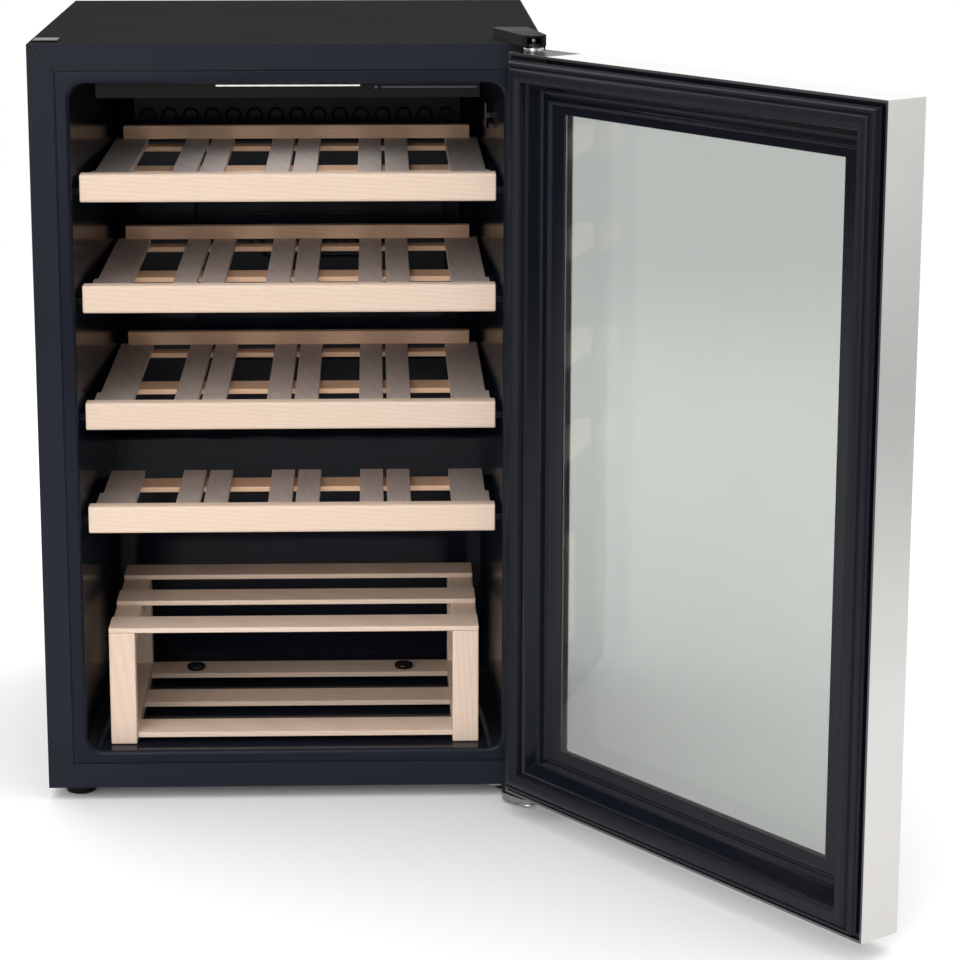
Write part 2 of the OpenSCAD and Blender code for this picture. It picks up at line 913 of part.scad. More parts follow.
side_panel_left();
side_panel_right();
top_panel();
kick_rail();
base_tray();
compressor_deck();
back_panel();
insulation_foam();
inner_liner();
evaporator_plate();
ceiling_housing();
led_diffuser();
indicator_lens();
temperature_probe();
compressor_shell();
compressor_pump();
compressor_mounts();
relay_box();
filter_drier();
condenser_coil();
drain_pan();
foot_front_left();
foot_front_right();
foot_rear_left();
foot_rear_right();
top_hinge_bracket();
top_hinge_pin();
top_hinge_cover();
bottom_hinge_bracket();
bottom_hinge_pin();
hinge_screws();
hinge_hole_covers();
cable_gland();
door_steel_frame();
door_liner();
door_gasket();
gasket_magnets();
outer_pane();
inner_pane();
pane_spacer();
hinge_bushes();
door_end_caps();
for (i = [0 : 3]) {
    shelf_front_rail(i);
    shelf_slats(i);
    shelf_cross_rails(i);
}
stand_side_left();
stand_side_right();
stand_top_slats();
stand_bottom_slats();
stand_bolt_caps();
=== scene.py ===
"""Looks of the wine cooler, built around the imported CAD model, in metres.

The door stands open. Its pieces are built as if it were shut, and then swung with it.
"""
import json
import math
import random

import bmesh
import bpy
from mathutils import Matrix, Vector


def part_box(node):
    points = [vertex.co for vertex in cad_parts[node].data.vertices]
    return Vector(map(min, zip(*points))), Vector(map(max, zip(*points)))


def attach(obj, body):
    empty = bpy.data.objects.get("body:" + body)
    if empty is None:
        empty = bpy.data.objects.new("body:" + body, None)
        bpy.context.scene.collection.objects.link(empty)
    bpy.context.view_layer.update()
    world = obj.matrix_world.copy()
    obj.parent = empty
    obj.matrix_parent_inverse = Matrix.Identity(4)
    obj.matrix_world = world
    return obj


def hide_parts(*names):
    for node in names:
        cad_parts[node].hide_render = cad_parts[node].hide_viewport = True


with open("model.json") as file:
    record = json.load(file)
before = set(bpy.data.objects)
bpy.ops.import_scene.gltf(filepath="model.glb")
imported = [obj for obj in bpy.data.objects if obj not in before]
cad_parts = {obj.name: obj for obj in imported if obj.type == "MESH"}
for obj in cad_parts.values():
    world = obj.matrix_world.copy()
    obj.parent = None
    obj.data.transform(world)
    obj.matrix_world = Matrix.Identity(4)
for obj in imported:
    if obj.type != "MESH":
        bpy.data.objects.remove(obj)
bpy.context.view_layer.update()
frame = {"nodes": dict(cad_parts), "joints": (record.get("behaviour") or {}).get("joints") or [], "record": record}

MM = 0.001
SHELVES = (1, 2, 3, 4)
RECORD = frame["record"]
BODY_OF = {node: body for body, nodes in RECORD["behaviour"]["bodies"].items() for node in nodes}
SLOT_OF = {part["node"]: part["material_slot"] for part in RECORD["subparts"]}

HINGE = next(joint for joint in frame["joints"] if joint["name"] == "door_hinge")
HINGE_AXIS = Vector(HINGE["pos_m"])
DOOR_OPEN = -math.radians(HINGE["range_deg"][0])
SWING = (Matrix.Translation(HINGE_AXIS) @ Matrix.Rotation(DOOR_OPEN, 4, "Z")
         @ Matrix.Translation(-HINGE_AXIS))

# ---------- sizes ----------

# Liner: half widths at the mouth and at the back, and the radii of the corners there
OPENING_HALF = 229 * MM
BACK_HALF = 216 * MM
OPENING_R = 16 * MM
BACK_R = 25 * MM
# Step over the compressor. A larger radius would let the foam behind it show.
STEP_FRONT = 85 * MM
STEP_TOP = 332 * MM
STEP_R = 7 * MM
# Ledges under the shelves
LEDGE_X = 203 * MM
LEDGE_H = 8 * MM
LEDGE_START = 14 * MM
LEDGE_R = 2 * MM
SHELF_GAP = 0.5 * MM
STAND_GAP = 0.3 * MM
# Front lip of the liner: its width beside and above the mouth, and its seam to the cabinet
LIP_SIDE = 16 * MM
LIP_TOP = 14.5 * MM
SEAM = 1.2 * MM
LIP_R = 3 * MM
LIP_TUCK = 6 * MM
LIP_EDGE_R = 1.2 * MM
MOUTH_R = 4.5 * MM
GROOVE_DEPTH = 1.4 * MM
SKIN_T = 1.5 * MM
# Far enough outside the liner for a cutting tool, and as good as the same place
CLEAR = 0.3
NEAR = 0.01 * MM
# Highest point of the seal, as a depth in the door
SEAL_CROWN = -12.9 * MM
# Inner frame of the door: where its border starts to narrow, and where the pane starts
RIDGE = 51.0 * MM
GLASS_X = 71.0 * MM
GLASS_Z = 60.5 * MM
# Spacer bar between the panes, from and to this far inside the door's edge
SPACER_START = 38.5 * MM
SPACER_END = 46.5 * MM
SPACER_GROOVE = 0.6 * MM
# Pressed rings and channels of the cold plate
RING_PITCH = 25.4 * MM
RING_R = 8.5 * MM
BEAD_R = 1.7 * MM
CHANNEL_R = 9 * MM
# Rows of rings: millimetres below the plate's top, how many, and millimetres right of its middle
RING_ROWS = ((26.5, 15, 0), (45.5, 15, 0), (158.5, 4, 64), (184.5, 5, 64))
# Channels, in millimetres: half width, top below the plate's top, height, and shift to the right
CHANNELS = ((150, 124, 200, 27), (80, 146, 40, 22), (66, 158, 40, 22))
# Domed head of the bottom hinge pin, in millimetres
DOME_R = 12.5
DOME_H = 4.2
# Outside radii of the refrigerant pipes, in millimetres
HOT_PIPE_R = 2.6
COOLED_PIPE_R = 2.4
CAPILLARY_R = 1.3
# Rounding of edges
SHEET_EDGE = 0.3 * MM
FOLD_EDGE = 0.5 * MM
PANEL_EDGE = 0.48 * MM
GLASS_EDGE = 0.6 * MM
SMALL_EDGE = 0.6 * MM
MOULDED_EDGE = 0.8 * MM
MOUNT_EDGE = 1.0 * MM
DRIER_EDGE = 1.2 * MM
BOARD_EDGE = 0.9 * MM
RAIL_EDGE = 1.5 * MM
HOUSING_EDGE = 1.5 * MM
FOOT_EDGE = 1.6 * MM
STAND_SLAT_EDGE = 1.1 * MM
STAND_SIDE_EDGE = 1.8 * MM
BOX_EDGE = 2.0 * MM
COVER_EDGE = 2.2 * MM
CAP_EDGE = 2.4 * MM


# ---------- shaders ----------

class Shader:
    """A Principled material, with short calls that add nodes to it."""

    def __init__(self, name, **values):
        self.material = bpy.data.materials.new(name)
        self.material.use_nodes = True
        self.tree = self.material.node_tree
        self.bsdf = self.tree.nodes["Principled BSDF"]
        for socket, value in values.items():
            self.set(self.bsdf, socket.replace("_", " "), value)

    def set(self, node, socket, value):
        target = node.inputs[socket]
        if isinstance(value, bpy.types.NodeSocket):
            self.tree.links.new(value, target)
        elif target.type == "RGBA":
            target.default_value = (*value, 1)
        else:
            target.default_value = value

    def add(self, kind, inputs=None, **settings):
        node = self.tree.nodes.new("ShaderNode" + kind)
        for name, value in settings.items():
            setattr(node, name, value)
        for socket, value in (inputs or {}).items():
            self.set(node, socket, value)
        return node

    def math(self, operation, a, b=0.0):
        return self.add("Math", {0: a, 1: b}, operation=operation).outputs[0]

    def scaled(self, vector, scale):
        return self.add("Mapping", {"Vector": vector, "Scale": scale}).outputs[0]

    def place(self):
        return self.add("TexCoord").outputs["Object"]

    def noise(self, vector, scale, detail=2.0, roughness=0.5):
        return self.add("TexNoise", {"Vector": vector, "Scale": scale, "Detail": detail,
                                     "Roughness": roughness}).outputs["Fac"]

    def ramp(self, value, low, high, start=0.0, end=1.0):
        return self.add("MapRange", {"Value": value, "From Min": low, "From Max": high,
                                     "To Min": start, "To Max": end}).outputs["Result"]

    def mix(self, factor, a, b, blend="MIX"):
        node = self.add("Mix", data_type="RGBA", blend_type=blend)
        self.set(node, 0, factor)
        self.set(node, 6, a)
        self.set(node, 7, b)
        return node.outputs[2]

    def bump(self, height, strength, distance):
        node = self.add("Bump", {"Height": height, "Strength": strength, "Distance": distance})
        self.set(self.bsdf, "Normal", node.outputs[0])

    def colour(self, value):
        self.set(self.bsdf, "Base Color", value)

    def roughness(self, value):
        self.set(self.bsdf, "Roughness", value)


def shade(colour, factor):
    return tuple(min(1.0, c * factor) for c in colour)


def wood(name, along, light, dark):
    """Planed beech: growth rings, fibres and short flecks that run along one axis, board by board."""
    s = Shader(name, Specular_IOR_Level=0.35)
    axes = s.add("SeparateXYZ", {0: s.place()}).outputs
    order = {"X": (0, 1, 2), "Y": (1, 0, 2), "Z": (2, 0, 1)}[along]
    board = s.add("Attribute", attribute_name="board").outputs["Fac"]
    u = s.math("ADD", axes[order[0]], s.math("MULTIPLY", board, 7.3))
    v = s.math("ADD", axes[order[1]], s.math("MULTIPLY", board, 0.61))
    w = s.math("ADD", axes[order[2]], s.math("MULTIPLY", board, 0.37))
    grain = s.add("CombineXYZ", {0: u, 1: v, 2: w}).outputs[0]

    slope = s.math("MULTIPLY", u, 0.07)
    ring_w = s.math("ADD", s.math("ADD", w, slope), 0.03)
    ring_place = s.add("CombineXYZ", {0: s.math("MULTIPLY", u, 0.09), 1: v, 2: ring_w}).outputs[0]
    rings = s.add("TexWave", {"Vector": ring_place, "Scale": 62.0, "Distortion": 3.2,
                              "Detail": 2.5, "Detail Scale": 0.8, "Detail Roughness": 0.55},
                  wave_type="RINGS", rings_direction="X").outputs["Fac"]
    rings = s.math("POWER", rings, 1.7)
    fibres = s.noise(s.scaled(grain, (45, 1300, 1300)), 1.0, 2.0)
    flecks = s.ramp(s.noise(s.scaled(grain, (260, 2300, 1100)), 1.0, 0.0), 0.66, 0.74)
    clouds = s.noise(s.scaled(grain, (5, 26, 26)), 1.0, 3.0)

    tone = s.mix(s.math("MULTIPLY", rings, 0.42), light, dark)
    tone = s.mix(s.ramp(fibres, 0.35, 0.7, 0.0, 0.22), tone, shade(dark, 0.90))
    tone = s.mix(s.math("MULTIPLY", flecks, 0.26), tone, shade(dark, 0.70))
    tone = s.mix(s.ramp(clouds, 0.3, 0.75, 0.0, 0.26), tone, (light[0], light[1] * 0.93, light[2] * 0.87))
    tint = s.ramp(s.math("FRACT", s.math("MULTIPLY", board, 17.0)), 0.0, 1.0, 0.93, 1.04)
    tint = s.add("CombineXYZ", {0: tint, 1: tint, 2: tint}).outputs[0]
    s.colour(s.mix(1.0, tone, tint, "MULTIPLY"))
    s.roughness(s.ramp(fibres, 0.2, 0.8, 0.46, 0.62))
    s.bump(s.math("ADD", fibres, s.math("MULTIPLY", rings, 0.5)), 0.25, 0.12 * MM)
    return s.material


def paint(name, colour, rough, peel, specular):
    """Powder coat: orange peel, with a slightly uneven tone and gloss."""
    s = Shader(name, Specular_IOR_Level=specular)
    place = s.place()
    cloud = s.noise(place, 6.0, 4.0, 0.6)
    peel_noise = s.noise(place, 620.0, 2.0)
    s.colour(s.mix(cloud, shade(colour, 0.82), shade(colour, 1.2)))
    s.roughness(s.ramp(cloud, 0.3, 0.7, rough * 0.88, rough * 1.14))
    s.bump(peel_noise, peel, 0.15 * MM)
    return s.material


def plastic(name, colour, rough, grain, specular):
    """Moulded or vacuum-formed plastic, smooth or with a fine grain."""
    s = Shader(name, Specular_IOR_Level=specular)
    place = s.place()
    cloud = s.noise(place, 9.0, 3.0)
    fine = s.noise(place, 1500.0, 1.0)
    s.colour(s.mix(cloud, shade(colour, 0.85), shade(colour, 1.15)))
    s.roughness(s.ramp(cloud, 0.3, 0.7, rough * 0.85, rough * 1.2))
    wave = s.math("ADD", s.math("MULTIPLY", fine, grain), s.math("MULTIPLY", cloud, 1.2))
    s.bump(wave, 0.22, 0.2 * MM)
    return s.material


def brushed(name, colour, rough, along, depth=0.06):
    """Brushed or drawn metal: fine scratches that run along one axis."""
    s = Shader(name, Metallic=1.0)
    place = s.place()
    stretch = {"X": (14, 3200, 3200), "Y": (3200, 14, 3200), "Z": (3200, 3200, 14)}[along]
    lines = s.noise(s.scaled(place, stretch), 1.0, 3.0, 0.6)
    cloud = s.noise(place, 7.0, 4.0, 0.6)
    base = s.mix(lines, shade(colour, 0.955), shade(colour, 1.04))
    s.colour(s.mix(s.ramp(cloud, 0.35, 0.7, 0.0, 0.5), base, shade(colour, 0.95)))
    s.roughness(s.math("ADD", s.ramp(lines, 0.2, 0.8, rough * 0.88, rough * 1.12),
                       s.ramp(cloud, 0.3, 0.7, -0.03, 0.03)))
    s.bump(lines, depth, 0.04 * MM)
    return s.material


def plated(name, colour, rough, spangle):
    """Zinc: crystals of slightly different tone and gloss."""
    s = Shader(name, Metallic=1.0)
    place = s.place()
    cells = s.add("TexVoronoi", {"Vector": place, "Scale": spangle}).outputs["Color"]
    value = s.add("SeparateXYZ", {0: cells}).outputs[0]
    dull = s.noise(place, 40.0, 3.0)
    s.colour(s.mix(value, shade(colour, 0.88), shade(colour, 1.08)))
    s.roughness(s.math("ADD", s.ramp(value, 0.0, 1.0, rough * 0.85, rough * 1.15),
                       s.ramp(dull, 0.4, 0.7, 0.0, 0.05)))
    s.bump(dull, 0.04, 0.1 * MM)
    return s.material


def polished(name, colour, rough):
    """Bright zinc on small turned and pressed parts, slightly clouded."""
    s = Shader(name, Metallic=1.0)
    cloud = s.noise(s.place(), 60.0, 3.0)
    s.colour(s.mix(cloud, shade(colour, 0.9), shade(colour, 1.06)))
    s.roughness(s.ramp(cloud, 0.3, 0.7, rough * 0.8, rough * 1.3))
    s.bump(cloud, 0.05, 0.1 * MM)
    return s.material


def rubber(name, colour, rough):
    """Soft vinyl or rubber: matt skin with fine dust and flow marks."""
    s = Shader(name, Specular_IOR_Level=0.2)
    place = s.place()
    dust = s.noise(place, 900.0, 2.0)
    flow = s.noise(place, 14.0, 3.0)
    s.colour(s.mix(s.ramp(dust, 0.35, 0.8), colour, shade(colour, 1.35)))
    s.roughness(s.ramp(flow, 0.3, 0.7, rough * 0.9, rough * 1.1))
    s.bump(s.math("ADD", s.math("MULTIPLY", dust, 0.25), flow), 0.2, 0.2 * MM)
    return s.material


def glass(name, colour, clear):
    """Tinted float glass with a slight haze and hardly visible smears."""
    s = Shader(name, Transmission_Weight=clear, IOR=1.36)
    smear = s.noise(s.place(), 3.0, 4.0, 0.6)
    s.colour(s.mix(smear, shade(colour, 0.985), shade(colour, 1.015)))
    s.roughness(s.ramp(smear, 0.55, 0.8, 0.0, 0.03))
    return s.material


def glow(name, colour, strength):
    """Opal diffuser lit from behind, a little brighter over each light chip."""
    s = Shader(name, Roughness=0.4, Emission_Strength=strength)
    x = s.add("SeparateXYZ", {0: s.place()}).outputs[0]
    chips = s.math("ABSOLUTE", s.math("SINE", s.math("MULTIPLY", x, 190.0)))
    value = s.mix(chips, shade(colour, 0.85), colour)
    s.colour(value)
    s.set(s.bsdf, "Emission Color", value)
    return s.material


def foam(name, colour):
    """Cut rigid foam: small open cells."""
    s = Shader(name, Specular_IOR_Level=0.2, Roughness=0.9)
    place = s.place()
    cells = s.add("TexVoronoi", {"Vector": place, "Scale": 900.0}).outputs["Distance"]
    cloud = s.noise(place, 12.0, 3.0)
    tone = s.mix(cloud, shade(colour, 0.88), colour)
    s.colour(s.mix(s.ramp(cells, 0.2, 0.6, 0.0, 0.4), tone, shade(colour, 0.6)))
    s.bump(cells, 0.5, 0.4 * MM)
    return s.material


BEECH = (0.795, 0.63, 0.51)
BEECH_DARK = (0.70, 0.52, 0.39)
# Brighter, warmer beech for the cross rails at the back of each shelf: painted light, standing in for lamp light
# that hardly reaches that deep.
LIT_BEECH = (0.97, 0.655, 0.44)
LIT_BEECH_DARK = (0.86, 0.535, 0.345)
# Greyer, darker beech for the slats: painted shade and a painted cool reflection over their tops.
SHADED_BEECH = (0.70, 0.61, 0.57)
SHADED_BEECH_DARK = (0.58, 0.485, 0.44)

materials = {
    "cabinet_paint": paint("navy_powder_coat", (0.0080, 0.0104, 0.0180), 0.30, 0.06, 0.17),
    "top_paint": paint("black_powder_coat", (0.021, 0.021, 0.021), 0.70, 0.20, 0.0),
    "galvanised": plated("galvanised_sheet", (0.52, 0.53, 0.54), 0.42, 90.0),
    "tub_plastic": plastic("glossy_tub", (0.0072, 0.0094, 0.0168), 0.17, 0.0, 0.13),
    "trim_plastic": plastic("grained_black_plastic", (0.005, 0.005, 0.006), 0.34, 0.5, 0.14),
    "foam": foam("cut_foam", (0.80, 0.72, 0.45)),
    "diffuser": glow("lit_diffuser", (0.95, 0.96, 0.92), 0.45),
    "lens": glow("indicator_window", (0.05, 0.06, 0.08), 0.3),
    "probe_metal": plastic("probe_sheath", (0.008, 0.008, 0.010), 0.12, 0.0, 0.4),
    "compressor_paint": paint("black_enamel", (0.012, 0.012, 0.012), 0.28, 0.12, 0.35),
    "pump_iron": plated("cast_iron", (0.20, 0.20, 0.20), 0.60, 300.0),
    "rubber": rubber("black_rubber", (0.012, 0.012, 0.012), 0.7),
    "pipe_copper": brushed("drawn_copper", (0.78, 0.40, 0.24), 0.30, "Z", 0.1),
    "condenser_paint": paint("condenser_enamel", (0.012, 0.012, 0.012), 0.36, 0.10, 0.35),
    "hinge_steel": polished("bright_zinc", (0.66, 0.665, 0.68), 0.24),
    "door_steel": brushed("brushed_stainless", (0.62, 0.605, 0.59), 0.32, "Z"),
    "door_plastic": plastic("glossy_door_liner", (0.0042, 0.0055, 0.010), 0.14, 0.0, 0.20),
    "gasket_vinyl": rubber("seal_vinyl", (0.0058, 0.0072, 0.0115), 0.42),
    "magnet": rubber("magnet_strip", (0.06, 0.055, 0.05), 0.6),
    "pane_outer": glass("tinted_pane", (0.635, 0.652, 0.633), 0.97),
    "pane_inner": glass("clear_pane", (0.785, 0.80, 0.782), 0.985),
    "spacer_metal": brushed("spacer_aluminium", (0.78, 0.78, 0.77), 0.25, "Z", 0.05),
    "beech": wood("beech_rail", "X", BEECH, BEECH_DARK),
    # The slats' beech carries painted shade and a painted reflection.
    "beech_slat": wood("beech_slat", "Y", SHADED_BEECH, SHADED_BEECH_DARK),
    "cap_plastic": plastic("cap_plastic", (0.008, 0.008, 0.009), 0.22, 0.0, 0.3),
}
COVER_PLASTIC = plastic("hinge_cover_plastic", (0.011, 0.011, 0.012), 0.5, 0.3, 0.03)
HEM_STEEL = brushed("folded_hem", (0.17, 0.17, 0.175), 0.36, "Z")
DARK_CHROME = polished("dark_chrome", (0.20, 0.205, 0.22), 0.07)
DARK_ZINC = polished("pressed_zinc", (0.30, 0.31, 0.325), 0.26)
# Cross rails in the brighter, warmer beech: painted light for the back of the cabinet.
BEECH_LIT_CROSS_RAILS = wood("beech_cross_rail_painted_light", "X", LIT_BEECH, LIT_BEECH_DARK)
BEECH_UPRIGHT = wood("beech_post", "Z", BEECH, BEECH_DARK)


# ---------- mesh helpers ----------

def place_piece(name, bm, nodes, material=None, sharp=35.0):
    """Turns a bmesh into a piece that stands for CAD nodes and rides on their body."""
    for face in bm.faces:
        face.smooth = True
    mesh = bpy.data.meshes.new(name)
    bm.to_mesh(mesh)
    bm.free()
    mesh.set_sharp_from_angle(angle=math.radians(sharp))
    mesh.materials.append(material or materials[SLOT_OF[nodes[0]]])
    piece = bpy.data.objects.new(name, mesh)
    bpy.context.scene.collection.objects.link(piece)
    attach(piece, BODY_OF[nodes[0]])
    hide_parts(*nodes)
    return piece


def weighted(piece):
    """Keeps broad faces flat beside their rounded edges."""
    modifier = piece.modifiers.new("face_weights", "WEIGHTED_NORMAL")
    modifier.keep_sharp = True
    modifier.weight = 100
    return piece


def node_mesh(node):
    """A CAD node's mesh with its flat faces whole again."""
    bm = bmesh.new()
    bm.from_mesh(frame["nodes"][node].data)
    bmesh.ops.remove_doubles(bm, verts=bm.verts, dist=0.001 * MM)
    bmesh.ops.dissolve_limit(bm, angle_limit=math.radians(0.4), verts=bm.verts, edges=bm.edges)
    return bm


def round_edges(bm, width, segments=2, over=30.0):
    """Rounds every edge whose faces turn by more than an angle in degrees."""
    limit = math.radians(over)
    edges = [e for e in bm.edges if len(e.link_faces) == 2 and e.calc_face_angle(0.0) > limit]
    bmesh.ops.bevel(bm, geom=edges, offset=width, segments=segments, profile=0.5,
                    affect="EDGES", clamp_overlap=True)


def number_boards(bm, seed):
    """Gives each loose board its own number, which its grain starts from."""
    layer = bm.faces.layers.float.new("board")
    draw = random.Random(seed)
    seen = set()
    for face in bm.faces:
        if face in seen:
            continue
        number = draw.random()
        stack = [face]
        while stack:
            one = stack.pop()
            if one in seen:
                continue
            seen.add(one)
            one[layer] = number
            stack.extend(f for edge in one.edges for f in edge.link_faces if f not in seen)


def softened(node, width, segments=2, material=None, seed=None, over=30.0):
    """The CAD node's own shape with its edges rounded."""
    bm = node_mesh(node)
    round_edges(bm, width, segments, over)
    if seed is not None:
        number_boards(bm, seed)
    return weighted(place_piece(node + "_finished", bm, [node], material))


def skin(bm, loops, ring=False):
    """Quads between closed loops of equal length, and in a ring also from the last to the first.
    Returns the loops' vertices."""
    rows = [[bm.verts.new(p) for p in loop] for loop in loops]
    following = rows[1:] + rows[:1] if ring else rows[1:]
    count = len(rows[0])
    for a, b in zip(rows, following):
        for i in range(count):
            j = (i + 1) % count
            bm.faces.new((a[i], a[j], b[j], b[i]))
    return rows


def smooth_line(points, steps=4, closed=True):
    """A smooth line through the points."""
    points = [Vector(p) for p in points]
    if closed:
        points = [points[-1], *points, *points[:2]]
    else:
        points = [points[0], *points, points[-1]]
    out = []
    for p0, p1, p2, p3 in zip(points, points[1:], points[2:], points[3:]):
        for k in range(steps):
            t = k / steps
            out.append(0.5 * (2 * p1 + (p2 - p0) * t + (2 * p0 - 5 * p1 + 4 * p2 - p3) * t * t
                              + (3 * p1 - p0 - 3 * p2 + p3) * t ** 3))
    return out if closed else [*out, points[-1]]


def rounded_loop(half, low, high, r, y, steps=8):
    """A rounded rectangle across the cabinet at depth y."""
    points = []
    for cx, cz, turn in ((half - r, high - r, 0), (r - half, high - r, 90),
                         (r - half, low + r, 180), (half - r, low + r, 270)):
        for i in range(steps + 1):
            a = math.radians(turn + 90 * i / steps)
            points.append((cx + r * math.cos(a), y, cz + r * math.sin(a)))
    return points


def box_mesh(bm, low, high):
    """Adds a block between two corners."""
    low, high = Vector(low), Vector(high)
    made = bmesh.ops.create_cube(bm, size=1.0)["verts"]
    bmesh.ops.scale(bm, vec=high - low, verts=made)
    bmesh.ops.translate(bm, vec=(low + high) / 2, verts=made)


def temporary(bm):
    """An object that holds the bmesh for a moment."""
    mesh = bpy.data.meshes.new("temporary")
    bm.to_mesh(mesh)
    bm.free()
    piece = bpy.data.objects.new("temporary", mesh)
    bpy.context.scene.collection.objects.link(piece)
    return piece


def cut(bm, tools):
    """The bmesh without the space of the tools, a list of bmeshes."""
    target = temporary(bm)
    helpers = [temporary(tool) for tool in tools]
    for helper in helpers:
        modifier = target.modifiers.new("cut", "BOOLEAN")
        modifier.operation = "DIFFERENCE"
        modifier.solver = "EXACT"
        modifier.object = helper
    bpy.context.view_layer.update()
    result = bmesh.new()
    evaluated = target.evaluated_get(bpy.context.evaluated_depsgraph_get())
    result.from_mesh(evaluated.to_mesh())
    for piece in [target, *helpers]:
        bpy.data.objects.remove(piece)
    return result


# ---------- cabinet ----------

def paint_side(piece, material, way):
    """Gives a second material to the faces that look one way."""
    piece.data.materials.append(material)
    for face in piece.data.polygons:
        if face.normal.dot(way) > 0.5:
            face.material_index = 1


def steel_cabinet():
    for node in ("side_panel_left", "side_panel_right", "kick_rail"):
        softened(node, PANEL_EDGE, 3)
    top = softened("top_panel", PANEL_EDGE, 3)
    paint_side(top, materials["cabinet_paint"], Vector((0, -1, 0)))
    for node in ("base_tray", "compressor_deck", "back_panel"):
        softened(node, SHEET_EDGE, 1)


def quarter_turn(steps):
    """The sine and cosine of angles from 0 to 90 degrees."""
    angles = [math.radians(90 * i / steps) for i in range(steps + 1)]
    return [(math.sin(a), math.cos(a)) for a in angles]


def side_block(side, inner, low, high):
    """A block from a distance beside the middle plane outwards, between two (y, z) corners."""
    x_low, x_high = (inner, CLEAR) if side > 0 else (-CLEAR, -inner)
    bm = bmesh.new()
    box_mesh(bm, (x_low, *low), (x_high, *high))
    return bm


def liner_room(front, low, high, back):
    """The room inside the liner: walls that draw in towards a back with rounded edges."""
    loops = [rounded_loop(OPENING_HALF, low, high, OPENING_R, front + MOUTH_R)]
    for sine, cosine in quarter_turn(8):
        inset = BACK_R * (1 - cosine)
        loops.append(rounded_loop(BACK_HALF - inset, low + inset, high - inset, BACK_R,
                                  back - BACK_R * (1 - sine)))
    room = bmesh.new()
    rows = skin(room, loops)
    room.faces.new(rows[0])
    room.faces.new(list(reversed(rows[-1])))
    bmesh.ops.recalc_face_normals(room, faces=room.faces)
    return room


def liner_lip(front, low, high):
    """Loops from the groove beside the cabinet, over the lip and into the mouth."""
    half = OPENING_HALF + LIP_SIDE - SEAM
    lip_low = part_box("kick_rail")[1].z + SEAM
    lip_high = high + LIP_TOP - SEAM
    groove_y = front + GROOVE_DEPTH
    loops = [rounded_loop(half + LIP_TUCK, lip_low - LIP_TUCK, lip_high + LIP_TUCK,
                          LIP_R + LIP_TUCK, groove_y),
             rounded_loop(half, lip_low, lip_high, LIP_R, groove_y)]
    for sine, cosine in quarter_turn(4):
        inset = LIP_EDGE_R * (1 - cosine)
        loops.append(rounded_loop(half - inset, lip_low + inset, lip_high - inset, LIP_R,
                                  front + LIP_EDGE_R * (1 - sine)))
    for sine, cosine in quarter_turn(6):
        out = MOUTH_R * (1 - sine)
        loops.append(rounded_loop(OPENING_HALF + out, low - out, high + out, OPENING_R + out,
                                  front + MOUTH_R * (1 - cosine)))
    return loops


def liner():
    """The moulded tub: front lip, rounded mouth, drafted walls, step and ledges."""
    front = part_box("side_panel_right")[0].y
    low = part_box("stand_side_left")[0].z - STAND_GAP
    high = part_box("ceiling_housing")[1].z
    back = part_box("evaporator_plate")[1].y

    step = bmesh.new()
    box_mesh(step, (-CLEAR, STEP_FRONT, low - CLEAR), (CLEAR, back + CLEAR, STEP_TOP))
    round_edges(step, STEP_R, 5)
    tools = [step]
    for i in SHELVES:
        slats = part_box(f"shelf_{i}_slats")
        top = slats[0].z - SHELF_GAP
        for side in (-1, 1):
            ledge = side_block(side, LEDGE_X, (slats[0].y + LEDGE_START, top - LEDGE_H), (slats[1].y, top))
            round_edges(ledge, LEDGE_R, 3)
            tools.append(ledge)
    bm = cut(liner_room(front, low, high, back), tools)
    mouth_y = front + MOUTH_R
    cap = [f for f in bm.faces if all(abs(v.co.y - mouth_y) < NEAR for v in f.verts)]
    bmesh.ops.delete(bm, geom=cap, context="FACES")

    skin(bm, liner_lip(front, low, high))
    bmesh.ops.remove_doubles(bm, verts=bm.verts, dist=2 * NEAR)
    bmesh.ops.recalc_face_normals(bm, faces=bm.faces)
    rear_wall = max(bm.faces, key=lambda f: f.calc_center_median().y * f.calc_area())
    if rear_wall.normal.y > 0:
        bmesh.ops.reverse_faces(bm, faces=bm.faces)
    bmesh.ops.solidify(bm, geom=bm.faces, thickness=SKIN_T)
    weighted(place_piece("liner_tub", bm, ["inner_liner"]))


# ---------- door ----------

def shut_box(node):
    """The box of a door's node as if the door were shut."""
    back = SWING.inverted()
    points = [back @ v.co for v in frame["nodes"][node].data.vertices]
    return (Vector([min(p[k] for p in points) for k in range(3)]),
            Vector([max(p[k] for p in points) for k in range(3)]))


DOOR_LOW, DOOR_HIGH = shut_box("door_steel_frame")


def door_sweep(profile, height_margin=lambda d: d):
    """A closed profile of (margin, depth) swept round the door with mitred corners. Its margins may
    differ between the sides and the top and bottom."""
    bm = bmesh.new()
    loops = []
    for sx, sz in ((-1, -1), (1, -1), (1, 1), (-1, 1)):
        loop = []
        for d, t in profile:
            x = DOOR_LOW.x + d if sx < 0 else DOOR_HIGH.x - d
            z = DOOR_LOW.z + height_margin(d) if sz < 0 else DOOR_HIGH.z - height_margin(d)
            loop.append((x, DOOR_HIGH.y - t, z))
        loops.append(loop)
    skin(bm, loops, ring=True)
    bmesh.ops.recalc_face_normals(bm, faces=bm.faces)
    bmesh.ops.transform(bm, matrix=SWING, verts=bm.verts)
    return bm


def in_mm(points):
    """A profile of the door, given in millimetres, in metres."""
    return [(d * MM, t * MM) for d, t in points]


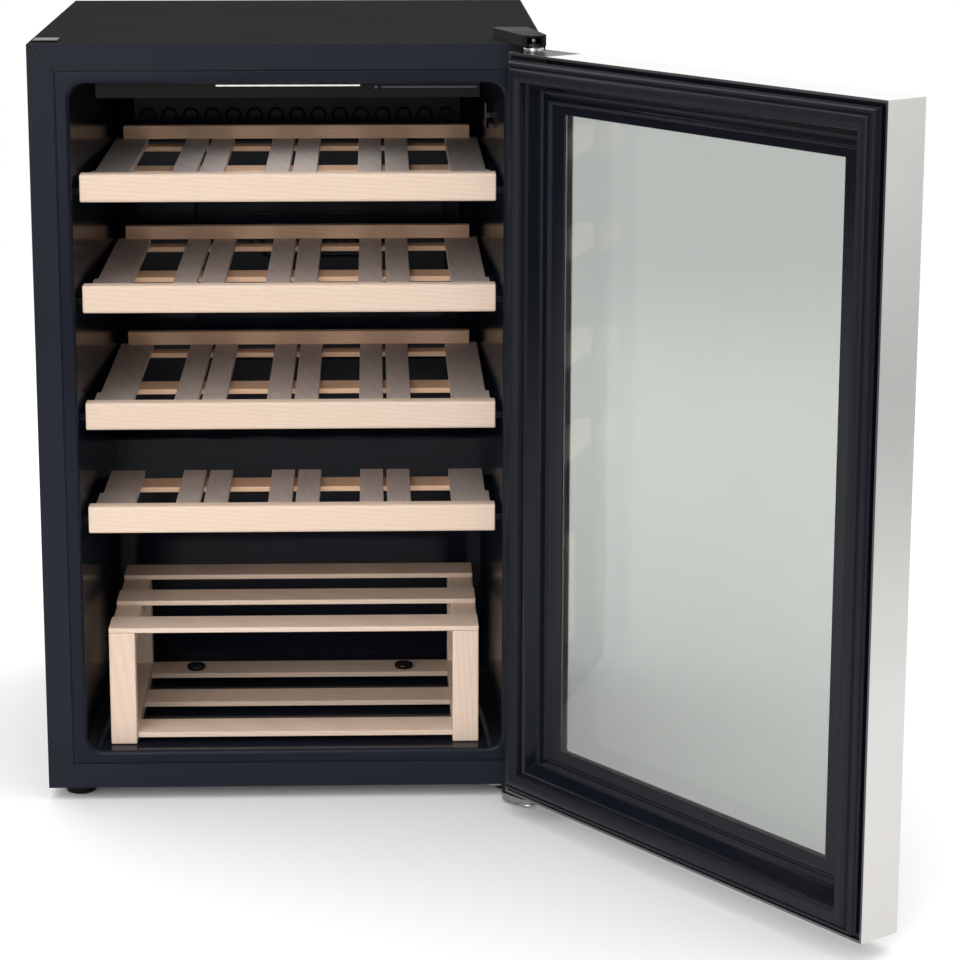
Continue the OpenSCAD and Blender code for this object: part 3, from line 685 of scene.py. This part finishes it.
def door_seal():
    """Soft seal: an outer lip, a groove, and the crowned magnet chamber."""
    outline = smooth_line(in_mm([
        (8.3, 0.6), (8.0, -3.0), (8.4, -6.2), (9.6, -8.2), (11.2, -8.8), (12.4, -8.2),
        (13.3, -7.0), (14.3, -8.2), (15.2, -10.4), (17.0, -12.1), (19.8, -12.8), (22.5, -12.7),
        (25.2, -11.9), (27.6, -10.3), (29.2, -7.9), (29.9, -4.8), (29.9, -1.5), (29.2, 0.6)]))
    outline = [(margin, max(depth, SEAL_CROWN)) for margin, depth in outline]
    place_piece("door_seal", door_sweep(outline), ["door_gasket", "gasket_magnets"], sharp=60.0)


def door_liner():
    """Black inner frame: wall, ledge, ridge and border down to the inner pane."""
    outline = in_mm([
        (28.9, 1.0), (30.0, 0.4), (30.8, 0.8), (31.4, 1.9), (36.8, 12.4), (37.5, 13.6), (38.6, 14.6),
        (40.2, 15.3), (44.3, 16.1), (45.2, 15.7), (46.0, 15.0), (47.0, 14.7), (48.0, 14.9),
        (48.8, 15.7), (49.6, 16.7), (51.0, 17.2), (53.5, 17.5), (68.6, 18.5),
        (70.2, 18.8), (71.0, 19.5), (70.7, 20.0), (36.0, 20.0), (33.0, 19.8), (30.0, 18.0), (28.9, 14.0)])
    slope = (GLASS_Z - RIDGE) / (GLASS_X - RIDGE)
    channel = in_mm([(2.7, 1.5), (3.2, 3.4), (5.0, 3.9), (8.4, 3.6), (8.6, 1.0), (28.8, 1.0),
                     (28.8, 6.0), (6.0, 6.0), (2.7, 5.4)])
    bm = door_sweep(outline, lambda d: d if d < RIDGE else RIDGE + (d - RIDGE) * slope)
    groove = temporary(door_sweep(channel))
    bm.from_mesh(groove.data)
    bpy.data.objects.remove(groove)
    weighted(place_piece("door_inner_frame", bm, ["door_liner"], sharp=50.0))


def pane_edge():
    """Spacer between the panes, with a groove along its inner side."""
    inner = shut_box("inner_pane")[0].y
    outer = shut_box("outer_pane")[1].y
    near, far = DOOR_HIGH.y - inner, DOOR_HIGH.y - outer
    third = (far - near) / 3
    groove = SPACER_END - SPACER_GROOVE
    outline = [(SPACER_START, near), (SPACER_END, near), (SPACER_END, near + third),
               (groove, near + 1.2 * third), (groove, far - 1.2 * third),
               (SPACER_END, far - third), (SPACER_END, far), (SPACER_START, far)]
    place_piece("spacer_bar", door_sweep(outline), ["pane_spacer"])


def dress(node):
    """Gives a carried CAD node its finish."""
    slots = frame["nodes"][node].data.materials
    slots.clear()
    slots.append(materials[SLOT_OF[node]])


def door():
    steel = softened("door_steel_frame", FOLD_EDGE, 3)
    paint_side(steel, HEM_STEEL, SWING.to_3x3() @ Vector((0, 1, 0)))
    softened("door_end_caps", MOULDED_EDGE, 2)
    hinge_bushes()
    door_seal()
    door_liner()
    pane_edge()
    softened("outer_pane", GLASS_EDGE, 2)
    softened("inner_pane", GLASS_EDGE, 2)


# ---------- shelves and stand ----------

def shelves():
    for i in SHELVES:
        softened(f"shelf_{i}_front_rail", RAIL_EDGE, 4, seed=10 * i, over=20.0)
        softened(f"shelf_{i}_slats", BOARD_EDGE, 2, seed=10 * i + 1)
        # The cross rails take the brighter beech, whose extra light is painted.
        softened(f"shelf_{i}_cross_rails", BOARD_EDGE, 2, BEECH_LIT_CROSS_RAILS, seed=10 * i + 2)


def stand():
    softened("stand_side_left", STAND_SIDE_EDGE, 3, BEECH_UPRIGHT, seed=61)
    softened("stand_side_right", STAND_SIDE_EDGE, 3, BEECH_UPRIGHT, seed=62)
    softened("stand_top_slats", STAND_SLAT_EDGE, 3, seed=63)
    softened("stand_bottom_slats", STAND_SLAT_EDGE, 3, seed=64)
    softened("stand_bolt_caps", CAP_EDGE, 4)


# ---------- fittings ----------

def turned(bm, profile, steps=48):
    """Adds a shape turned about the hinge axis. Its profile of (radius, height) either closes on
    itself as a ring or starts and ends at radius 0."""
    solid = profile[0][0] == 0.0
    x, y = HINGE_AXIS.x, HINGE_AXIS.y
    loops = [[(x + r * math.cos(math.tau * k / steps), y + r * math.sin(math.tau * k / steps), z)
              for k in range(steps)] for r, z in (profile[1:-1] if solid else profile)]
    rows = skin(bm, loops, ring=not solid)
    tips = ((rows[0], profile[0][1]), (rows[-1], profile[-1][1])) if solid else ()
    for row, z in tips:
        tip = bm.verts.new((x, y, z))
        for k in range(steps):
            bm.faces.new((row[k], row[(k + 1) % steps], tip))
    bmesh.ops.recalc_face_normals(bm, faces=bm.faces)


def profile_mm(points, base, sign=1):
    """A profile in millimetres, with its heights measured from a base."""
    return [(r * MM, base + sign * z * MM) for r, z in points]


def hinge_pins():
    """Turned pins: the top one with a collar, the bottom one with a collar and a domed head."""
    low, high = (corner.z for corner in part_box("top_hinge_pin"))
    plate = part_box("top_hinge_bracket")[1].z
    bm = bmesh.new()
    turned(bm, profile_mm([(0.0, 0.0), (3.5, 0.0), (4.0, 0.5)], low)
           + profile_mm([(4.0, 0.0), (4.8, 0.0), (5.0, 0.3)], plate)
           + profile_mm([(5.0, -0.9), (4.7, -0.3), (4.0, 0.0), (0.0, 0.0)], high))
    place_piece("top_hinge_stud", bm, ["top_hinge_pin"], DARK_CHROME)

    low, high = (corner.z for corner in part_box("bottom_hinge_pin"))
    dome = [(DOME_R * sine, DOME_H * (1 - cosine)) for sine, cosine in quarter_turn(9)[1:]]
    shank = [(12.3, 4.7), (9.4, 4.8), (9.4, 7.1), (4.0, 7.1)]
    collar = [(4.0, 10.1), (7.8, 10.1), (8.0, 10.4), (8.0, 12.3), (7.6, 12.7), (4.0, 12.7)]
    bm = bmesh.new()
    turned(bm, profile_mm([(0.0, 0.0)] + dome + shank + collar, low)
           + profile_mm([(4.0, -0.5), (3.5, 0.0), (0.0, 0.0)], high))
    place_piece("bottom_hinge_stud", bm, ["bottom_hinge_pin"])


def hinge_bushes():
    """A bush in each end of the door, with a grooved flange."""
    low, high = (corner.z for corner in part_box("hinge_bushes"))
    flange = [(4.1, 0.5), (4.6, 0.0), (9.7, 0.0), (10.3, 0.2), (10.5, 0.7), (10.5, 2.6),
              (10.1, 2.8), (10.1, 3.2), (10.5, 3.4), (10.5, 4.1), (10.1, 4.5)]
    sleeve = [(7.0, 4.5), (7.0, 21.8), (6.4, 22.4), (4.5, 22.4), (4.1, 22.0)]
    bm = bmesh.new()
    for end, sign in ((low, 1), (high, -1)):
        turned(bm, profile_mm(flange + sleeve, end, sign))
    place_piece("hinge_bushes_turned", bm, ["hinge_bushes"])


def ring_round(centre, side, other, r, sides):
    """Points round a centre, in the plane of two directions."""
    angles = [math.tau * k / sides for k in range(sides)]
    return [centre + r * (math.cos(a) * side + math.sin(a) * other) for a in angles]


def bead(bm, points, r, sides=8):
    """A round bead along a closed flat line that faces the front."""
    points = [Vector(p) for p in points]
    depth = Vector((0, 1, 0))
    loops = []
    for before, here, after in zip(points[-1:] + points, points, points[1:] + points[:1]):
        side = (after - before).normalized().cross(depth)
        loops.append(ring_round(here, side, depth, r, sides))
    skin(bm, loops, ring=True)


def tube(bm, points, r, sides=12):
    """A bent pipe through the points, with closed ends, all in millimetres."""
    path = [p * MM for p in smooth_line(points, 6, closed=False)]
    ways = [(b - a).normalized() for a, b in zip(path, path[1:])]
    ways.append(ways[-1])
    side = ways[0].orthogonal().normalized()
    loops = []
    for i, (here, way) in enumerate(zip(path, ways)):
        if i:
            side.rotate(ways[i - 1].rotation_difference(way))
        loops.append(ring_round(here, side, way.cross(side), r * MM, sides))
    rows = skin(bm, loops)
    bm.faces.new(list(reversed(rows[0])))
    bm.faces.new(rows[-1])


def pipes():
    """The drier with its pipes: hot gas to the coil, cooled liquid from it, and the capillary."""
    coil_low, coil_high = (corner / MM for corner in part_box("condenser_coil"))
    y = coil_low.y + 17
    top, bottom = coil_high.z - 12, coil_low.z + 12
    end_x = coil_low.x + 22.4
    riser_x = coil_low.x - 8
    hot_pipe = [
        (end_x + 3, y, top), (end_x - 14, y, top), (riser_x + 3, y, top - 4), (riser_x, y, top - 16),
        (riser_x, y, bottom), (riser_x, y, 236), (riser_x + 2, y + 4, 150), (riser_x + 10, 233, 104),
        (-196, 236, 90), (-120, 240, 84), (-50, 238, 80), (-16, 228, 78), (0, 220, 78)]
    cooled_pipe = [
        (end_x + 3, y, bottom), (end_x - 8, y, bottom - 1), (end_x - 14, y, bottom - 10),
        (end_x - 15, y, 240), (end_x - 12, y + 3, 160), (end_x, 226, 90), (-170, 224, 40),
        (-135, 222, 30), (-113, 222, 34), (-110, 222, 44)]
    capillary = [
        (-110, 222, 188), (-109, 221, 204), (-98, 217, 222), (-70, 210, 232), (-46, 204, 238),
        (-36, 202, 250), (-35, 201, 290)]
    bm = node_mesh("filter_drier")
    round_edges(bm, DRIER_EDGE, 3)
    tube(bm, hot_pipe, HOT_PIPE_R)
    tube(bm, cooled_pipe, COOLED_PIPE_R)
    tube(bm, capillary, CAPILLARY_R)
    place_piece("refrigerant_pipes", bm, ["filter_drier"])


def evaporator():
    """Cold plate with its pressed rings and channels."""
    low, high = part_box("evaporator_plate")
    bm = node_mesh("evaporator_plate")
    round_edges(bm, SMALL_EDGE, 2)
    for drop, count, shift in RING_ROWS:
        z = high.z - drop * MM
        for i in range(count):
            x = (i - (count - 1) / 2) * RING_PITCH + shift * MM
            bead(bm, circle(x, low.y, z, RING_R), BEAD_R)
    for half, drop, height, shift in CHANNELS:
        z = high.z - drop * MM
        loop = rounded_loop(half * MM, z - height * MM, z, CHANNEL_R, low.y)
        bead(bm, [(x + shift * MM, y, z) for x, y, z in loop], BEAD_R)
    weighted(place_piece("evaporator_pressed", bm, ["evaporator_plate"]))


def circle(x, y, z, r, steps=20):
    """Points round a centre, facing the front."""
    return [(x + r * math.cos(math.tau * i / steps), y, z + r * math.sin(math.tau * i / steps))
            for i in range(steps)]


def fittings():
    softened("ceiling_housing", HOUSING_EDGE, 3)
    softened("led_diffuser", FOLD_EDGE, 2)
    softened("indicator_lens", SHEET_EDGE, 1)
    softened("temperature_probe", SMALL_EDGE, 2)
    evaporator()
    softened("top_hinge_bracket", FOLD_EDGE, 2, materials["compressor_paint"])
    softened("top_hinge_cover", COVER_EDGE, 4, COVER_PLASTIC, over=50.0)
    softened("bottom_hinge_bracket", FOLD_EDGE, 2, DARK_ZINC)
    hinge_pins()
    softened("hinge_screws", FOLD_EDGE, 2)
    softened("hinge_hole_covers", SMALL_EDGE, 2)
    for node in ("foot_front_left", "foot_front_right", "foot_rear_left", "foot_rear_right"):
        softened(node, FOOT_EDGE, 3)


def cooling_system():
    softened("compressor_shell", MOULDED_EDGE, 2)
    softened("compressor_mounts", MOUNT_EDGE, 2)
    softened("relay_box", BOX_EDGE, 3)
    pipes()
    softened("drain_pan", MOULDED_EDGE, 2)
    softened("cable_gland", SMALL_EDGE, 2)
    for node in ("condenser_coil", "compressor_pump", "insulation_foam"):
        dress(node)


steel_cabinet()
liner()
door()
shelves()
stand()
fittings()
cooling_system()


# ---------- floor, light and camera ----------

FLOOR_SIZE = 60.0
FLOOR_FADE_START = 1.7
FLOOR_FADE_END = 3.6
FLOOR_GLOW = 0.12
# Sky light: from and to these parts of a direction, and its strength at each
OVERHEAD_GLOW = (-0.2, 1.0, 0.12, 0.85)
REAR_GLOW = (-0.1, 0.7, 0.0, 0.95)

LENS = 112.1
SENSOR = 36.0
SHIFT = (0.03, -0.059)
EYE = (0.091, -3.421, 1.145)
LOOK_DOWN = math.radians(12.85)
LOOK_RIGHT = math.radians(1.496)


def studio():
    """A white floor that fades into the white backdrop, and soft lamps."""
    bpy.ops.mesh.primitive_plane_add(size=FLOOR_SIZE, location=(0, 0, 0))
    floor = bpy.context.object
    floor.name = "studio_floor"
    s = Shader("pale_floor", Specular_IOR_Level=0.0)
    place = s.place()
    cloud = s.noise(place, 0.6, 2.0)
    away = s.add("VectorMath", {0: place}, operation="LENGTH").outputs["Value"]
    fade = s.add("MapRange", {"Value": away, "From Min": FLOOR_FADE_START, "From Max": FLOOR_FADE_END},
                 interpolation_type="SMOOTHSTEP").outputs["Result"]
    path = s.add("LightPath").outputs
    seen = s.math("MAXIMUM", path["Is Camera Ray"], path["Is Transmission Ray"])
    s.colour(s.mix(fade, s.mix(cloud, (0.86, 0.86, 0.86), (0.89, 0.89, 0.89)), (0.0, 0.0, 0.0)))
    s.roughness(s.ramp(cloud, 0.0, 1.0, 0.75, 0.85))
    s.set(s.bsdf, "Emission Color", (1.0, 1.0, 1.0))
    s.set(s.bsdf, "Emission Strength", s.math("MULTIPLY", fade, s.ramp(seen, 0.0, 1.0, FLOOR_GLOW, 1.0)))
    floor.data.materials.append(s.material)
    studio_world()
    lamp("key", "AREA", (-1.5, -4.4, 1.1), 26.0, 2.4)
    lamp("front", "AREA", (0.1, -3.3, 0.9), 8.0, 1.8, (0.0, 0.0, 0.3))
    lamp("fill", "AREA", (3.4, -1.4, 0.9), 13.0, 2.0)
    lamp("back", "AREA", (-1.8, 3.4, 0.7), 26.0, 1.6)
    lamp("top", "AREA", (0.2, -0.6, 3.4), 46.0, 3.2)
    lamp("cabinet_light", "AREA", (0.0, -0.12, 0.766), 0.10, 0.2, (0.0, -0.12, 0.0))
    lamp("sun", "SUN", (-1.3, -3.6, 2.9), 0.95, math.radians(42))


def lamp(name, kind, place, power, size, target=(0.1, -0.2, 0.45)):
    """A soft lamp that faces a target on the object."""
    light = bpy.data.lights.new(name, kind)
    light.energy = power
    if kind == "SUN":
        light.angle = size
    else:
        light.size = size
    piece = bpy.data.objects.new(name, light)
    piece.location = place
    aim = Vector(target) - Vector(place)
    piece.rotation_euler = aim.to_track_quat("-Z", "Y").to_euler()
    bpy.context.scene.collection.objects.link(piece)


def studio_world():
    """White as a backdrop; as a light, a soft sky that is brightest overhead and behind the object."""
    world = bpy.data.worlds.new("studio_world")
    bpy.context.scene.world = world
    world.use_nodes = True
    tree = world.node_tree
    sky = tree.nodes["Background"]
    backdrop = tree.nodes.new("ShaderNodeBackground")
    backdrop.inputs["Color"].default_value = (1, 1, 1, 1)
    path = tree.nodes.new("ShaderNodeLightPath")
    seen = tree.nodes.new("ShaderNodeMath")
    seen.operation = "MAXIMUM"
    coordinates = tree.nodes.new("ShaderNodeTexCoord")
    way = tree.nodes.new("ShaderNodeSeparateXYZ")
    overhead = tree.nodes.new("ShaderNodeMapRange")
    behind = tree.nodes.new("ShaderNodeMapRange")
    for node, values in ((overhead, OVERHEAD_GLOW), (behind, REAR_GLOW)):
        for socket, value in zip(("From Min", "From Max", "To Min", "To Max"), values):
            node.inputs[socket].default_value = value
    total = tree.nodes.new("ShaderNodeMath")
    mix = tree.nodes.new("ShaderNodeMixShader")
    for start, end in ((path.outputs["Is Camera Ray"], seen.inputs[0]),
                       (path.outputs["Is Transmission Ray"], seen.inputs[1]),
                       (coordinates.outputs["Generated"], way.inputs[0]),
                       (way.outputs["Z"], overhead.inputs["Value"]),
                       (way.outputs["Y"], behind.inputs["Value"]),
                       (overhead.outputs["Result"], total.inputs[0]),
                       (behind.outputs["Result"], total.inputs[1]),
                       (total.outputs[0], sky.inputs["Color"]),
                       (seen.outputs[0], mix.inputs[0]),
                       (sky.outputs[0], mix.inputs[1]),
                       (backdrop.outputs[0], mix.inputs[2]),
                       (mix.outputs[0], tree.nodes["World Output"].inputs["Surface"])):
        tree.links.new(start, end)


def camera():
    data = bpy.data.cameras.new("camera")
    data.sensor_width = SENSOR
    data.lens = LENS
    data.shift_x, data.shift_y = SHIFT
    data.clip_end = 100.0
    eye = bpy.data.objects.new("camera", data)
    eye.location = EYE
    eye.rotation_euler = (math.radians(90) - LOOK_DOWN, 0.0, -LOOK_RIGHT)
    bpy.context.scene.collection.objects.link(eye)
    bpy.context.scene.camera = eye


studio()
camera()
scene = bpy.context.scene
scene.view_settings.view_transform = "Standard"
scene.cycles.max_bounces = 10
scene.cycles.transparent_max_bounces = 8
